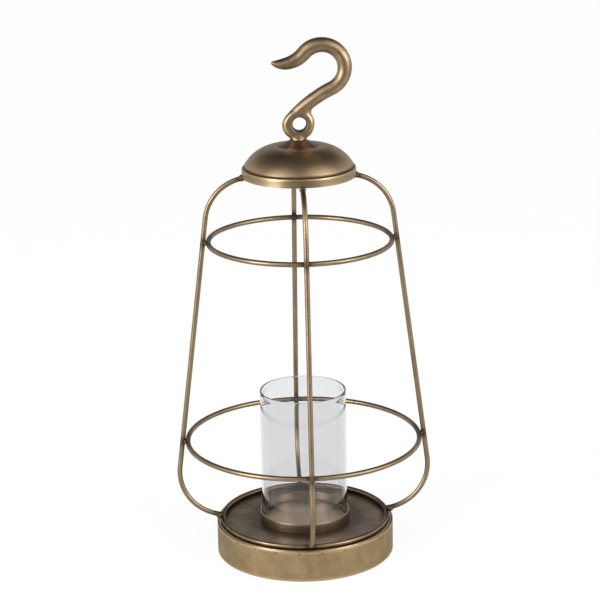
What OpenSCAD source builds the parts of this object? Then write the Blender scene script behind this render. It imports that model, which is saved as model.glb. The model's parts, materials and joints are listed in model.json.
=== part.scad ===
// Candle lantern: a wire cage on a drum base, with a spun cap, a cast hook and a glass chimney.
// Millimetres, +Z up. The origin is the centre of the underside, and the hook opens towards -X.

/* [Base] */
// Outer diameter of the drum
drum_d = 170; // [150:1:200]
// Height of the drum wall
drum_h = 30; // [22:0.5:45]
// Thickness of the spun sheet
sheet = 1.5; // [1:0.1:2]
// Width of the flat ring brazed in under the drum
foot_ring_w = 14; // [13:0.5:24]
// Thickness of the tray
tray_t = 2; // [1.6:0.1:3]
// How far the tray stands above the drum's edge
tray_step = 0.6; // [0.2:0.1:1.2]
// Radius of the tray's rounded edge
tray_edge_r = 1.4; // [0.8:0.1:1.5]
// Number of dimples punched into the drum, which the tray rests on
dimple_count = 24; // [8:1:32]
// Diameter of a dimple's punch
dimple_d = 1.8; // [1.4:0.1:2.4]
// Depth of a dimple
dimple_depth = 0.4; // [0.2:0.05:0.5]
// Number of felt pads under the foot ring
pad_count = 4; // [3:1:8]
// Diameter of a felt pad
pad_d = 10; // [6:0.5:11]
// Thickness of a felt pad
pad_h = 1; // [0.5:0.1:3]

/* [Cage] */
// Diameter of the rod that the cage is made of
rod_d = 4.8; // [4:0.1:6]
// Widest radius of the cage, to the middle of the ribs
cage_r = 119.5; // [112:0.5:130]
// Lean of the ribs' straight legs from the vertical
rib_lean = 7.3; // [5:0.1:8.5]
// Radius of the bend at the bottom of a rib
low_bend_r = 45; // [38:0.5:52]
// Distance from the drum's side to the middle of the base ring
ring_inset = 6; // [5.5:0.1:9]
// Height of a rib's foot above the middle of the base ring
foot_rise = 3.6; // [2.8:0.1:4.4]
// Height of the middle of the lower hoop
lower_hoop_h = 114; // [95:1:160]
// Height of the middle of the upper hoop
upper_hoop_h = 309.5; // [250:0.5:320]
// Diameter of a brazed bead between two rods
bead_d = 5.6; // [5:0.1:6.5]
// Diameter of a brazed bead round a rib's foot or top
end_bead_d = 7; // [6.5:0.1:7.5]

/* [Cup and glass] */
// Outer diameter of the glass chimney
glass_d = 82; // [60:0.5:90]
// Wall of the glass
glass_wall = 2; // [1.6:0.1:3]
// Height of the glass chimney
glass_h = 129.5; // [90:0.5:150]
// Height of the cup that the glass stands in
cup_h = 9.5; // [6:0.5:16]
// Wall of the cup
cup_wall = 1.3; // [1:0.1:2]
// Gap between the glass and the cup, all round
glass_gap = 0.8; // [0.4:0.1:2]

/* [Cap] */
// Height of the cap's lower edge
cap_h = 371.5; // [355:0.5:400]
// Outer diameter of the cap's band
cap_d = 106; // [96:0.5:120]
// Height of the straight part of the band
band_h = 5.6; // [5:0.1:10]
// Radius of the band's top edge
band_edge_r = 2.2; // [2:0.1:3]
// Depth of the groove between the band and the dome
groove = 1; // [0.6:0.1:1.2]
// Width of that groove
groove_w = 0.6; // [0.4:0.1:1]
// Radius of the dome's side, in section
dome_r = 35.2; // [30:0.2:40]
// Height of the dome above the band
dome_h = 20.2; // [18:0.2:24]
// Height of the plate inside the band, above the cap's lower edge
plate_rise = 1.8; // [1.4:0.1:2.4]
// Length of rib under the plate
rib_seat = 6.5; // [5:0.5:10]

/* [Hook] */
// Diameter of the eye
eye_d = 30.4; // [28:0.2:34]
// Bore of the eye
eye_bore = 12.8; // [10:0.2:13.4]
// Distance of the bore from the eye's middle, towards the crook
bore_aside = 1.2; // [0:0.1:1.6]
// Thickness of the eye
eye_t = 10; // [9:0.5:12]
// Radius of the eye's rounded edges
eye_edge_r = 3; // [2:0.1:3.5]
// Height of the eye's middle above the collar
eye_rise = 15.2; // [14.5:0.1:16.5]
// Thickness of the hook just above the eye
shank_t = 12.2; // [11:0.1:13]
// Thickness of the hook at its crook
crook_t = 13.9; // [12:0.1:14.5]
// Length of the bar inside the eye
bar_root = 5.6; // [5:0.1:8]
// Distance of the bar's start from the hook's axis, away from the crook
bar_offset = 1; // [0:0.1:2]
// Length over which the bar thickens from the eye's own thickness
flat_len = 20; // [10:1:30]
// Rise of the shank from the horizontal where it leaves the eye
shank_rise = 44; // [42:0.5:48]
// Radius of the shank's slow bend
shank_r = 124; // [110:1:150]
// Turn of the shank's slow bend
shank_turn = 18.4; // [14:0.1:22]
// Radius of the crook, to the middle of the metal
crook_r = 21.2; // [19:0.1:26]
// Turn of the crook
crook_turn = 203.7; // [195:0.1:210]
// Radius of the tip's outward bend
tip_r = 27.4; // [24:0.1:36]
// Turn of the tip's outward bend
tip_turn = 65.3; // [55:0.1:72]
// Length of the tip's taper
taper_len = 43.6; // [30:0.2:50]
// Radius of the fillet between the eye and the shank's underside
eye_fillet_r = 5.5; // [3:0.1:6.5]
// Thickness of that fillet
eye_fillet_t = 6.5; // [3:0.5:8]

/* [Hook fixing] */
// Diameter of the stem that holds the hook to the cap
stem_d = 8; // [6:0.5:8]
// Length of the stem's end below the nut
stem_end = 2; // [1:0.5:6]
// Height of the collar under the hook
collar_h = 5.2; // [4.5:0.1:7]
// Distance from the edge of the dome's flat top in to the collar
collar_inset = 0.5; // [0.2:0.1:3]
// Height of the collar's rim
collar_rim = 0.5; // [0.3:0.1:1]
// Diameter of the collar's top
collar_top_d = 17; // [15:0.5:20]
// Radius of the collar's hollow flare
flare_r = 30; // [20:1:60]
// Diameter of the hook's round foot
foot_d = 14; // [12:0.5:16]
// Height of the hook's round foot
foot_h = 2.4; // [2:0.1:4]
// Outer diameter of the washer
washer_d = 20; // [16:0.5:24]
// Thickness of the washer
washer_t = 1.6; // [1:0.1:2.5]
// Nut size across its flats
nut_flats = 13; // [12:0.5:14]
// Height of the nut
nut_h = 6.5; // [5:0.5:8]

/* [Hidden] */
$fn = 96;
arc_step = 3;
antique_brass = [0.62, 0.49, 0.32];
dark_brass = [0.38, 0.28, 0.19];
braze_brown = [0.27, 0.19, 0.13];
clear_glass = [0.85, 0.87, 0.88, 0.35];
felt_grey = [0.24, 0.22, 0.2];

// Clearances: filler against rod, rod against rod, slip fit of sheet in sheet
braze_gap = 0.05;
rod_gap = 0.2;
slip_gap = 0.1;
// Running fits of the hook: its stem in the holes, its foot on the collar
stem_gap = 0.08;
foot_gap = 0.05;
rib_angles = [0, 90, 180, 270];

// Levels of the base
drum_r = drum_d / 2;
drum_top = pad_h + drum_h;
tray_top = drum_top + tray_step;
tray_r = drum_r - sheet - slip_gap;
tray_under = tray_top - tray_t;
foot_ring_r = drum_r - foot_ring_w;
pad_ring_r = drum_r - foot_ring_w / 2;
// A dimple stands in from the wall as a round bump, whose top carries the tray
bump_h = tray_under - dimple_d / 2;
bump_sink = 0.1;
ring_r = drum_r - ring_inset;
ring_h = tray_top + rod_d / 2;

// Cup and glass
cup_inner_r = glass_d / 2 + glass_gap;
cup_r = cup_inner_r + cup_wall;
cup_floor = tray_top + cup_wall;

// Levels of the cap
cap_r = cap_d / 2;
plate_under = cap_h + plate_rise;
plate_r = cap_r - sheet - slip_gap;
band_top = cap_h + band_h + band_edge_r;
// The dome hangs a little over the band's rounded edge, with the groove under it
dome_edge_r = cap_r - band_edge_r + groove / 4;
groove_r = dome_edge_r - groove;
crown_top = band_top + dome_h;
dome_c_h = crown_top - dome_r;
dome_start = asin((band_top + groove_w - dome_c_h) / dome_r);
// Inside the dome's arc the crown is flat, and the collar stands on it
crown_r = dome_edge_r - dome_r * cos(dome_start);
collar_r = crown_r - collar_inset;
collar_top = crown_top + collar_h;

// A rib in its own plane: bottom bend, straight leg, and the top bend that lands it under the plate
low_c_r = cage_r - low_bend_r;
low_c = [low_c_r, ring_h + foot_rise + sqrt(pow(low_bend_r, 2) - pow(ring_r - low_c_r, 2))];
foot_turn = -acos((ring_r - low_c.x) / low_bend_r);
rib_end_r = plate_r - rib_seat;
rib_top = plate_under - braze_gap - rod_d / 2;
leg_start = low_c + low_bend_r * [cos(rib_lean), sin(rib_lean)];
leg_at_top = leg_start.x - (rib_top - leg_start.y) * tan(rib_lean);
top_bend_r = (leg_at_top - rib_end_r) * cos(rib_lean) / (1 - sin(rib_lean));
top_c = [rib_end_r, rib_top - top_bend_r];
leg_end = top_c + top_bend_r * [cos(rib_lean), sin(rib_lean)];

// Each bend runs on over the leg in a ball that is larger than the rod by a hair
bend_swell = 0.03;
// Place of a foot's bead along its rib, out from the base ring
foot_bead_out = 0.8 * rod_d;

// A hoop lies inside the ribs, so its middle is on a line that runs beside the rib's own
hoop_off = rod_d + rod_gap;
hoop_low_r = low_bend_r - hoop_off;
hoop_top_r = top_bend_r - hoop_off;
hoop_leg_start = leg_start - hoop_off * [cos(rib_lean), sin(rib_lean)];
hoop_leg_end = leg_end - hoop_off * [cos(rib_lean), sin(rib_lean)];
function on_low_bend(z) = z < hoop_leg_start.y;
function on_top_bend(z) = z > hoop_leg_end.y;
// Lean of the rib where a hoop at a height meets it, and the hoop's radius there
function hoop_turn(z) =
    on_low_bend(z) ? asin((z - low_c.y) / hoop_low_r) :
    on_top_bend(z) ? asin((z - top_c.y) / hoop_top_r) : rib_lean;
function hoop_radius(z) =
    on_low_bend(z) ? low_c.x + hoop_low_r * cos(hoop_turn(z)) :
    on_top_bend(z) ? top_c.x + hoop_top_r * cos(hoop_turn(z)) :
    hoop_leg_start.x - (z - hoop_leg_start.y) * tan(rib_lean);

// The hook's middle line is a chain of arcs in the X-Z plane, each a radius and a turn
eye_h = collar_top + eye_rise;
hook_start = [-bar_offset, eye_h + eye_d / 2 - bar_root];
hook_chain = [[shank_r, -shank_turn], [crook_r, crook_turn], [tip_r, -tip_turn]];
ring_sides = 20;
ring_step = 2.5;
taper_power = 0.41;
// Height of the fillet's ends above the metal that they run out on
fillet_step = 0.1;
function left_of(heading) = [-sin(heading), cos(heading)];
shank_c = hook_start - shank_r * left_of(shank_rise);
function arc_move(heading, arc, turn) =
    arc[0] * sign(arc[1]) * (left_of(heading) - left_of(heading + turn));
function arc_length(arc) = arc[0] * abs(arc[1]) * PI / 180;
// Start of the chain's arc i: point, heading and length of metal before it
function chain_start(i) = i == 0 ? [hook_start, shank_rise, 0] :
    let (before = chain_start(i - 1), arc = hook_chain[i - 1])
    [before[0] + arc_move(before[1], arc, arc[1]), before[1] + arc[1], before[2] + arc_length(arc)];
hook_len = chain_start(len(hook_chain))[2];
// Rings along the chain: point, heading and length of metal before the ring
hook_rings = [
    for (i = [0 : len(hook_chain) - 1])
    let (start = chain_start(i), arc = hook_chain[i], steps = ceil(arc_length(arc) / ring_step))
    for (k = [0 : steps - 1])
    let (turn = arc[1] * k / steps)
    [start[0] + arc_move(start[1], arc, turn), start[1] + turn, start[2] + arc_length(arc) * k / steps]
];
hook_tip = chain_start(len(hook_chain))[0];
// Half thickness of the metal: it grows slowly to the crook, then tapers to a blunt point
function taper(s) =
    let (left = hook_len - s)
    left > taper_len ? 1 : sin(90 * pow(left / taper_len, taper_power));
function half_wide(s) = taper(s) * (shank_t + (crook_t - shank_t) * min(1, s / (hook_len - taper_len))) / 2;
// Beside the eye the metal is no thicker than the eye
function half_deep(s) = half_wide(s) - (half_wide(s) - eye_t / 2) * max(0, 1 - s / flat_len);

// A round bar bent to part of a circle in the X-Z plane
module bent_rod(centre, bend_r, from, to, d) {
    translate([centre.x, 0, centre.y])
    rotate([90, 0, 0])
    rotate([0, 0, from])
    rotate_extrude(angle = to - from)
    translate([bend_r, 0])
    circle(d = d);
}

// A ring of round bar about the Z axis
module rod_ring(radius, height, d) {
    rotate_extrude()
    translate([radius, height])
    circle(d = d);
}

// The two bends of a rib's bar at the given diameter
module low_bend(d) {
    bent_rod(low_c, low_bend_r, foot_turn, rib_lean, d);
}

module top_bend(d) {
    bent_rod(top_c, top_bend_r, rib_lean, 90, d);
}

// A rib: bend, straight leg and bend, with its foot coped to sit on the base ring
module rib(angle) {
    color(antique_brass)
    rotate([0, 0, angle])
    difference() {
        union() {
            low_bend(rod_d);
            top_bend(rod_d);
            translate([leg_start.x, 0, leg_start.y])
            rotate([0, -rib_lean, 0])
            cylinder(d = rod_d, h = norm(leg_end - leg_start));
            for (bend = [leg_start, leg_end])
            translate([bend.x, 0, bend.y])
            sphere(d = rod_d + bend_swell);
        }
        rod_ring(ring_r, ring_h, rod_d + 2 * braze_gap);
    }
}

module rib_right() { rib(rib_angles[0]); }
module rib_back() { rib(rib_angles[1]); }
module rib_left() { rib(rib_angles[2]); }
module rib_front() { rib(rib_angles[3]); }

module lower_hoop() {
    color(antique_brass)
    rod_ring(hoop_radius(lower_hoop_h), lower_hoop_h, rod_d);
}

module upper_hoop() {
    color(antique_brass)
    rod_ring(hoop_radius(upper_hoop_h), upper_hoop_h, rod_d);
}

module base_ring() {
    color(dark_brass)
    rod_ring(ring_r, ring_h, rod_d);
}

// Brazed beads where a hoop crosses the four ribs, between the two rods
module hoop_brazing(height) {
    room_d = rod_d + 2 * braze_gap;
    hoop_c = [hoop_radius(height), 0, height];
    to_rib = [cos(hoop_turn(height)), 0, sin(hoop_turn(height))];
    color(braze_brown)
    for (angle = rib_angles)
    rotate([0, 0, angle])
    difference() {
        translate(hoop_c + hoop_off / 2 * to_rib)
        sphere(d = bead_d);
        translate(hoop_c)
        rotate([90, 0, 0])
        cylinder(d = room_d, h = 2 * bead_d, center = true);
        if (on_low_bend(height)) low_bend(room_d);
        else if (on_top_bend(height)) top_bend(room_d);
        else
            translate(hoop_c + hoop_off * to_rib)
            rotate([0, -rib_lean, 0])
            cylinder(d = room_d, h = 2 * bead_d, center = true);
    }
}

module lower_brazing() { hoop_brazing(lower_hoop_h); }
module upper_brazing() { hoop_brazing(upper_hoop_h); }

// Brazed beads round the ribs' feet, where they sit on the base ring
module foot_brazing() {
    room_d = rod_d + 2 * braze_gap;
    bead_turn = -acos((ring_r + foot_bead_out - low_c.x) / low_bend_r);
    bead_c = low_c + low_bend_r * [cos(bead_turn), sin(bead_turn)];
    color(braze_brown)
    for (angle = rib_angles)
    rotate([0, 0, angle])
    difference() {
        translate([bead_c.x, 0, bead_c.y])
        sphere(d = end_bead_d);
        low_bend(room_d);
        translate([ring_r, 0, ring_h])
        rotate([90, 0, 0])
        cylinder(d = room_d, h = 2 * bead_d, center = true);
    }
}

// Brazed beads round the ribs where they pass under the cap's edge
module cap_brazing() {
    color(braze_brown)
    for (angle = rib_angles)
    rotate([0, 0, angle])
    difference() {
        translate([cap_r, 0, rib_top])
        sphere(d = end_bead_d);
        top_bend(rod_d + 2 * braze_gap);
        translate([0, 0, cap_h - braze_gap])
        cylinder(r = cap_r + braze_gap, h = end_bead_d);
    }
}

module felt_pads() {
    color(felt_grey)
    for (i = [0 : pad_count - 1])
    rotate([0, 0, 360 * (i + 0.5) / pad_count])
    translate([pad_ring_r, 0, 0])
    cylinder(d = pad_d, h = pad_h);
}

// Plain wall with a rounded edge, punched all round so that its bumps carry the tray
module base_drum() {
    color(antique_brass)
    difference() {
        union() {
            rotate_extrude() {
                square_from([drum_r - sheet, pad_h], [drum_r, drum_top - sheet / 2]);
                translate([drum_r - sheet / 2, drum_top - sheet / 2])
                circle(d = sheet);
            }
            dimple_row(drum_r - sheet + bump_sink);
        }
        dimple_row(drum_r + dimple_d / 2 - dimple_depth);
    }
}

// A ring of balls at the height of the dimples
module dimple_row(radius) {
    for (i = [0 : dimple_count - 1])
    rotate([0, 0, 360 * (i + 0.5) / dimple_count])
    translate([radius, 0, bump_h])
    sphere(d = dimple_d, $fn = 24);
}

// Flat ring inside the drum's lower edge, which carries the felt pads
module base_foot_ring() {
    color(dark_brass)
    translate([0, 0, pad_h])
    difference() {
        cylinder(r = drum_r - sheet - slip_gap, h = sheet);
        translate([0, 0, -sheet])
        cylinder(r = foot_ring_r, h = 3 * sheet);
    }
}

// Flat round floor with a rounded edge, resting on the drum's bumps
module base_tray() {
    color(dark_brass)
    rotate_extrude() {
        square_from([0, tray_under], [tray_r, tray_top - tray_edge_r]);
        square_from([0, tray_under], [tray_r - tray_edge_r, tray_top]);
        intersection() {
            square_from([0, tray_under], [tray_r, tray_top]);
            translate([tray_r - tray_edge_r, tray_top - tray_edge_r])
            circle(r = tray_edge_r);
        }
    }
}

// A rectangle from its low corner to its high corner
module square_from(low, high) {
    translate(low)
    square(high - low);
}

// Shallow cup with a rounded lip, brazed to the tray
module glass_cup() {
    color(antique_brass)
    rotate_extrude() {
        square_from([0, tray_top], [cup_r, cup_floor]);
        square_from([cup_inner_r, tray_top], [cup_r, tray_top + cup_h - cup_wall / 2]);
        translate([cup_inner_r + cup_wall / 2, tray_top + cup_h - cup_wall / 2])
        circle(d = cup_wall);
    }
}

// Straight tube, open at both ends, with fire-rounded rims
module glass_chimney() {
    color(clear_glass)
    translate([0, 0, cup_floor])
    rotate_extrude() {
        square_from([glass_d / 2 - glass_wall, glass_wall / 2], [glass_d / 2, glass_h - glass_wall / 2]);
        for (h = [glass_wall / 2, glass_h - glass_wall / 2])
        translate([glass_d / 2 - glass_wall / 2, h])
        circle(d = glass_wall);
    }
}

// Disc that closes the band and carries the ribs' upper ends
module cap_plate() {
    color(dark_brass)
    translate([0, 0, plate_under])
    difference() {
        cylinder(r = plate_r, h = sheet);
        stem_hole(sheet);
    }
}

// Hole for the hook's stem through a piece of the given height
module stem_hole(h) {
    translate([0, 0, -h])
    cylinder(d = stem_d + 2 * stem_gap, h = 3 * h);
}

// Points along an arc in a half section
function arc_points(centre, r, from, to) =
    let (steps = ceil(abs(to - from) / arc_step))
    [for (k = [0 : steps]) let (a = from + (to - from) * k / steps) centre + r * [cos(a), sin(a)]];

// The cap in half section, from its lower edge to the axis: outside, with the groove, and inside
cap_outside = concat(
    [[cap_r, cap_h]],
    arc_points([cap_r - band_edge_r, cap_h + band_h], band_edge_r, 0, 90),
    [[groove_r, band_top], [groove_r, band_top + groove_w]],
    arc_points([crown_r, dome_c_h], dome_r, dome_start, 90),
    [[0, crown_top]]
);
inside_start = acos((groove_r - sheet - crown_r) / (dome_r - sheet));
cap_inside = concat(
    [[cap_r - sheet, cap_h], [cap_r - sheet, cap_h + band_h], [groove_r - sheet, band_top - sheet]],
    arc_points([crown_r, dome_c_h], dome_r - sheet, inside_start, 90),
    [[0, crown_top - sheet]]
);

// Spun cap: band, groove and dome in one sheet, with saddles for the ribs in its lower edge
module cap_shell() {
    inside_down = [for (i = [len(cap_inside) - 1 : -1 : 0]) cap_inside[i]];
    color(antique_brass)
    difference() {
        rotate_extrude()
        polygon(concat(cap_outside, inside_down));
        translate([0, 0, crown_top])
        stem_hole(2 * sheet);
        for (angle = rib_angles)
        rotate([0, 0, angle])
        top_bend(rod_d + 2 * slip_gap);
    }
}

// Middle of an arc of radius r from p to q, on the right of the way from p to q
function arc_middle(p, q, r) =
    let (half = norm(q - p) / 2, side = [q.y - p.y, p.x - q.x] / (2 * half))
    (p + q) / 2 + sqrt(r * r - half * half) * side;

// Flared seat between the dome's flat top and the hook's foot
module cap_collar() {
    color(antique_brass)
    translate([0, 0, crown_top])
    difference() {
        rotate_extrude()
        difference() {
            square([collar_r, collar_h]);
            translate(arc_middle([collar_r, collar_rim], [collar_top_d / 2, collar_h], flare_r))
            circle(r = flare_r, $fn = 360);
        }
        stem_hole(collar_h);
    }
}

// A ring of points round the hook's middle line
function ring_points(at) = [
    for (j = [0 : ring_sides - 1])
    let (a = 360 * j / ring_sides, out = half_wide(at[2]) * cos(a) * left_of(at[1]))
    [at[0].x + out.x, half_deep(at[2]) * sin(a), at[0].y + out.y]
];

// The bent bar from the eye to the tip
module hook_bar() {
    rings = len(hook_rings);
    apex = rings * ring_sides;
    points = [for (at = hook_rings) each ring_points(at), [hook_tip.x, 0, hook_tip.y]];
    sides = [
        for (i = [0 : rings - 2])
        for (j = [0 : ring_sides - 1])
        let (a = i * ring_sides + j, b = i * ring_sides + (j + 1) % ring_sides)
        each [[a, b, a + ring_sides], [b, b + ring_sides, a + ring_sides]]
    ];
    last = apex - ring_sides;
    nose = [for (j = [0 : ring_sides - 1]) [last + j, last + (j + 1) % ring_sides, apex]];
    butt = [[for (j = [0 : ring_sides - 1]) ring_sides - 1 - j]];
    polyhedron(points, concat(butt, sides, nose), convexity = 6);
}

// Disc of the eye's thickness with rounded edges, on the Y axis
module rounded_disc(r) {
    rotate([90, 0, 0])
    rotate_extrude() {
        square_from([0, -eye_t / 2], [r - eye_edge_r, eye_t / 2]);
        square_from([0, eye_edge_r - eye_t / 2], [r, eye_t / 2 - eye_edge_r]);
        for (y = [eye_edge_r - eye_t / 2, eye_t / 2 - eye_edge_r])
        translate([r - eye_edge_r, y])
        circle(r = eye_edge_r);
    }
}

// The eye before it is bored: round, but no wider than the line of the shank's upper side
module eye_body() {
    intersection() {
        translate([0, 0, eye_h])
        rounded_disc(eye_d / 2);
        translate([shank_c.x, 0, shank_c.y])
        rounded_disc(shank_r + shank_t / 2);
    }
}

// A point that lies r from c and s from d, on the left of the way from c to d
function meeting(c, r, d, s) =
    let (span = norm(d - c), along = (d - c) / span, run = (r * r - s * s + span * span) / (2 * span))
    c + run * along + sqrt(r * r - run * run) * [-along.y, along.x];

// Fillet in the corner between the eye and the shank's underside
module eye_fillet() {
    eye_c = [0, eye_h];
    under_r = shank_r - shank_t / 2;
    fillet_c = meeting(eye_c, eye_d / 2 + eye_fillet_r, shank_c, under_r - eye_fillet_r);
    on_eye = eye_c + (fillet_c - eye_c) * eye_d / (eye_d + 2 * eye_fillet_r);
    on_shank = shank_c + (fillet_c - shank_c) * under_r / (under_r - eye_fillet_r);
    rotate([90, 0, 0])
    linear_extrude(eye_fillet_t, center = true)
    difference() {
        polygon([on_eye, fillet_c, on_shank, 1.5 * (on_eye + on_shank) - 2 * fillet_c]);
        translate(fillet_c)
        circle(r = eye_fillet_r - fillet_step);
    }
}

// One casting: hook, eye, round foot and the stem that runs down through the cap
module hook() {
    stem_len = collar_top - plate_under + washer_t + nut_h + stem_end;
    color(antique_brass)
    difference() {
        union() {
            hook_bar();
            eye_body();
            eye_fillet();
            translate([0, 0, collar_top + foot_gap])
            cylinder(d = foot_d, h = foot_h);
            translate([0, 0, collar_top - stem_len])
            cylinder(d = stem_d, h = stem_len + foot_h);
        }
        translate([bore_aside, 0, eye_h])
        rotate([90, 0, 0])
        cylinder(d = eye_bore, h = 2 * eye_d, center = true);
    }
}

module hook_washer() {
    color(dark_brass)
    translate([0, 0, plate_under - washer_t])
    difference() {
        cylinder(d = washer_d, h = washer_t);
        stem_hole(washer_t);
    }
}

module hook_nut() {
    color(antique_brass)
    translate([0, 0, plate_under - washer_t - nut_h])
    difference() {
        cylinder(d = nut_flats / cos(30), h = nut_h, $fn = 6);
        stem_hole(nut_h);
    }
}

felt_pads();
base_foot_ring();
base_drum();
base_tray();
base_ring();
glass_cup();
glass_chimney();
rib_right();
rib_back();
rib_left();
rib_front();
lower_hoop();
upper_hoop();
foot_brazing();
lower_brazing();
upper_brazing();
cap_brazing();
cap_plate();
cap_shell();
cap_collar();
hook();
hook_washer();
hook_nut();
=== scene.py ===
"""A candle lantern of antique brass: drum base, wire cage, glass chimney, spun cap and cast hook."""
import json
import math
from functools import reduce

import bpy
import numpy as np
from mathutils import Matrix, Vector, noise


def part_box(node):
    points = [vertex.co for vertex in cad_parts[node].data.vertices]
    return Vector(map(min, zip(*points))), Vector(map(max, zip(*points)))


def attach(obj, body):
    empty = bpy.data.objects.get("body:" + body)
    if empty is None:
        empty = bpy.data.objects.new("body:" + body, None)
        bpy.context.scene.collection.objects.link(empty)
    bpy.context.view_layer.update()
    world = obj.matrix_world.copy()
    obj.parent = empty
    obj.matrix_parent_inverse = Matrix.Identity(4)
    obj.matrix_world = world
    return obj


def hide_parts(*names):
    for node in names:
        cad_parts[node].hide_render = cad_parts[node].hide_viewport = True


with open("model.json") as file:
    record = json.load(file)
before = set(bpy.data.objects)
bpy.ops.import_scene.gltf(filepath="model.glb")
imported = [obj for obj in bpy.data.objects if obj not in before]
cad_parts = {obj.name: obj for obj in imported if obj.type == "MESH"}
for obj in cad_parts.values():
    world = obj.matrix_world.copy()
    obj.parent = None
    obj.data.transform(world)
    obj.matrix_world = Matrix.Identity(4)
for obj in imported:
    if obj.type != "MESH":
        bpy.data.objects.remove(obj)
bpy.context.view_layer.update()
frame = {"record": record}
MM = 0.001


# Sizes read from the frame, in metres

def node_span(node):
    """Outer radius, lowest and highest point of a round node on the Z axis."""
    low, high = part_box(node)
    return high.x, low.z, high.z


ROD_R = (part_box("lower_hoop")[1].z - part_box("lower_hoop")[0].z) / 2


def hoop_line(node):
    """Radius and height of the middle line of a ring of rod."""
    outer, low, high = node_span(node)
    return outer - ROD_R, (low + high) / 2


RING_R, RING_H = hoop_line("base_ring")
LOWER_R, LOWER_H = hoop_line("lower_hoop")
UPPER_R, UPPER_H = hoop_line("upper_hoop")
DRUM_R, DRUM_LOW, DRUM_TOP = node_span("base_drum")
TRAY_R, TRAY_UNDER, TRAY_TOP = node_span("base_tray")
CUP_R, CUP_LOW, CUP_TOP = node_span("glass_cup")
GLASS_R, GLASS_LOW, GLASS_TOP = node_span("glass_chimney")
CAP_R, CAP_LOW, CAP_TOP = node_span("cap_shell")
COLLAR_R, COLLAR_LOW, COLLAR_TOP = node_span("cap_collar")
PLATE_R, PLATE_UNDER, PLATE_TOP = node_span("cap_plate")
WASHER_R, WASHER_LOW, WASHER_TOP = node_span("hook_washer")
NUT_LOW, NUT_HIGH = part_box("hook_nut")
MOUNTS = {m["name"]: m for m in frame["record"]["mounts"]}
BORE_X, _, EYE_H = MOUNTS["hook_eye"]["pos_m"]
EYE_BORE_R = MOUNTS["hook_eye"]["dims"]["r_mm"] * MM

# Sizes that the boxes don't give
SHEET = 1.5 * MM
DIMPLES = 24
DIMPLE_R, DIMPLE_DEPTH = 0.9 * MM, 0.55 * MM
TRAY_EDGE_R = 1.4 * MM
FOOT_RING_W = 12.4 * MM
PAD_R = 5 * MM
CUP_WALL, CUP_EDGE, CUP_CORNER_R = 1.3 * MM, 0.4 * MM, 1 * MM
GLASS_WALL = 1.4 * MM
RIB_LEAN = math.radians(7.3)
LOW_BEND_R = 45 * MM
FOOT_RISE = 3.6 * MM
BAND_H, BAND_EDGE_R = 6.5 * MM, 2.2 * MM
GROOVE, GROOVE_W, GROOVE_SOFT = 0.75 * MM, 0.9 * MM, 0.2 * MM
DOME_R = 35.2 * MM
COLLAR_RIM, COLLAR_TOP_R = 0.25 * MM, 8.5 * MM
FLARE_R = 30 * MM
EYE_R, EYE_T, EYE_EDGE_R = 15.2 * MM, 10 * MM, 4.5 * MM
FOOT_R, FOOT_H = 7 * MM, 2.4 * MM
STEM_R = 4 * MM


# Shader nodes

FLOAT, COLOUR = "NodeSocketFloat", "NodeSocketColor"


def connect(tree, value, socket):
    """Links a socket to an input, or sets the input to a plain value."""
    if isinstance(value, bpy.types.NodeSocket):
        tree.links.new(value, socket)
    else:
        socket.default_value = value


def set_inputs(tree, node, values):
    """Gives inputs of a node sockets or plain values, by their labels."""
    for label, value in values.items():
        connect(tree, value, node.inputs[label])
    return node


def add_node(tree, kind, **settings):
    """A new node; settings name its inputs, each given a socket or a plain value, or else its properties."""
    node = tree.nodes.new(kind)
    for key, value in settings.items():
        if key in node.inputs:
            connect(tree, value, node.inputs[key])
        else:
            setattr(node, key, value)
    return node


def maths(tree, operation, a, b=None, clamp=False):
    """Socket of a Math node over sockets or plain numbers."""
    node = add_node(tree, "ShaderNodeMath", operation=operation, use_clamp=clamp)
    connect(tree, a, node.inputs[0])
    if b is not None:
        connect(tree, b, node.inputs[1])
    return node.outputs[0]


def times(tree, *values):
    """Socket of a product."""
    return reduce(lambda a, b: maths(tree, "MULTIPLY", a, b), values)


def plus(tree, *values):
    """Socket of a sum."""
    return reduce(lambda a, b: maths(tree, "ADD", a, b), values)


def swing(tree, value, depth):
    """Socket of a value of 0 to 1 that swings about 0 instead, by a depth."""
    return times(tree, maths(tree, "SUBTRACT", value, 0.5), depth)


def between(tree, share, low, high):
    """Socket that goes from low to high as share goes from 0 to 1."""
    return plus(tree, times(tree, share, high - low), low)


def ramp(tree, value, start, end):
    """Smooth step of a value between two limits, 0 to 1."""
    node = add_node(tree, "ShaderNodeMapRange", interpolation_type="SMOOTHSTEP")
    return set_inputs(tree, node, {"Value": value, "From Min": start, "From Max": end}).outputs["Result"]


def blend_colour(tree, factor, first, second):
    """Socket of a colour mix; each colour is a socket or a tuple."""
    node = add_node(tree, "ShaderNodeMix", data_type="RGBA")
    for name, value in (("Factor", factor), ("A", first), ("B", second)):
        connect(tree, value, next(s for s in node.inputs if s.name == name and s.enabled))
    return next(s for s in node.outputs if s.enabled)


def object_place(tree):
    """Socket of the place on the piece, in metres of the shared frame."""
    return add_node(tree, "ShaderNodeTexCoord").outputs["Object"]


def noise_at(tree, place, **settings):
    """Socket of a noise texture at a place; its Scale is in waves for each unit of place."""
    return add_node(tree, "ShaderNodeTexNoise", Vector=place, **settings).outputs["Fac"]


# Shader node groups shared by the metals

LINE_CHANGE = 1.6  # how often a turning line changes, for each radian round the axis
# Dark pits and painted shade blend to this black; painted shade turns black between these two levels
PIT_AND_SHADE_BLACK = (0.03, 0.02, 0.014, 1)
SHADE_BLACK_FROM, SHADE_BLACK_FULL = 1.0, 2.2
PIT_EDGE, PITTED_AREA = (0.34, 0.12), (0.56, 0.68)


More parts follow.
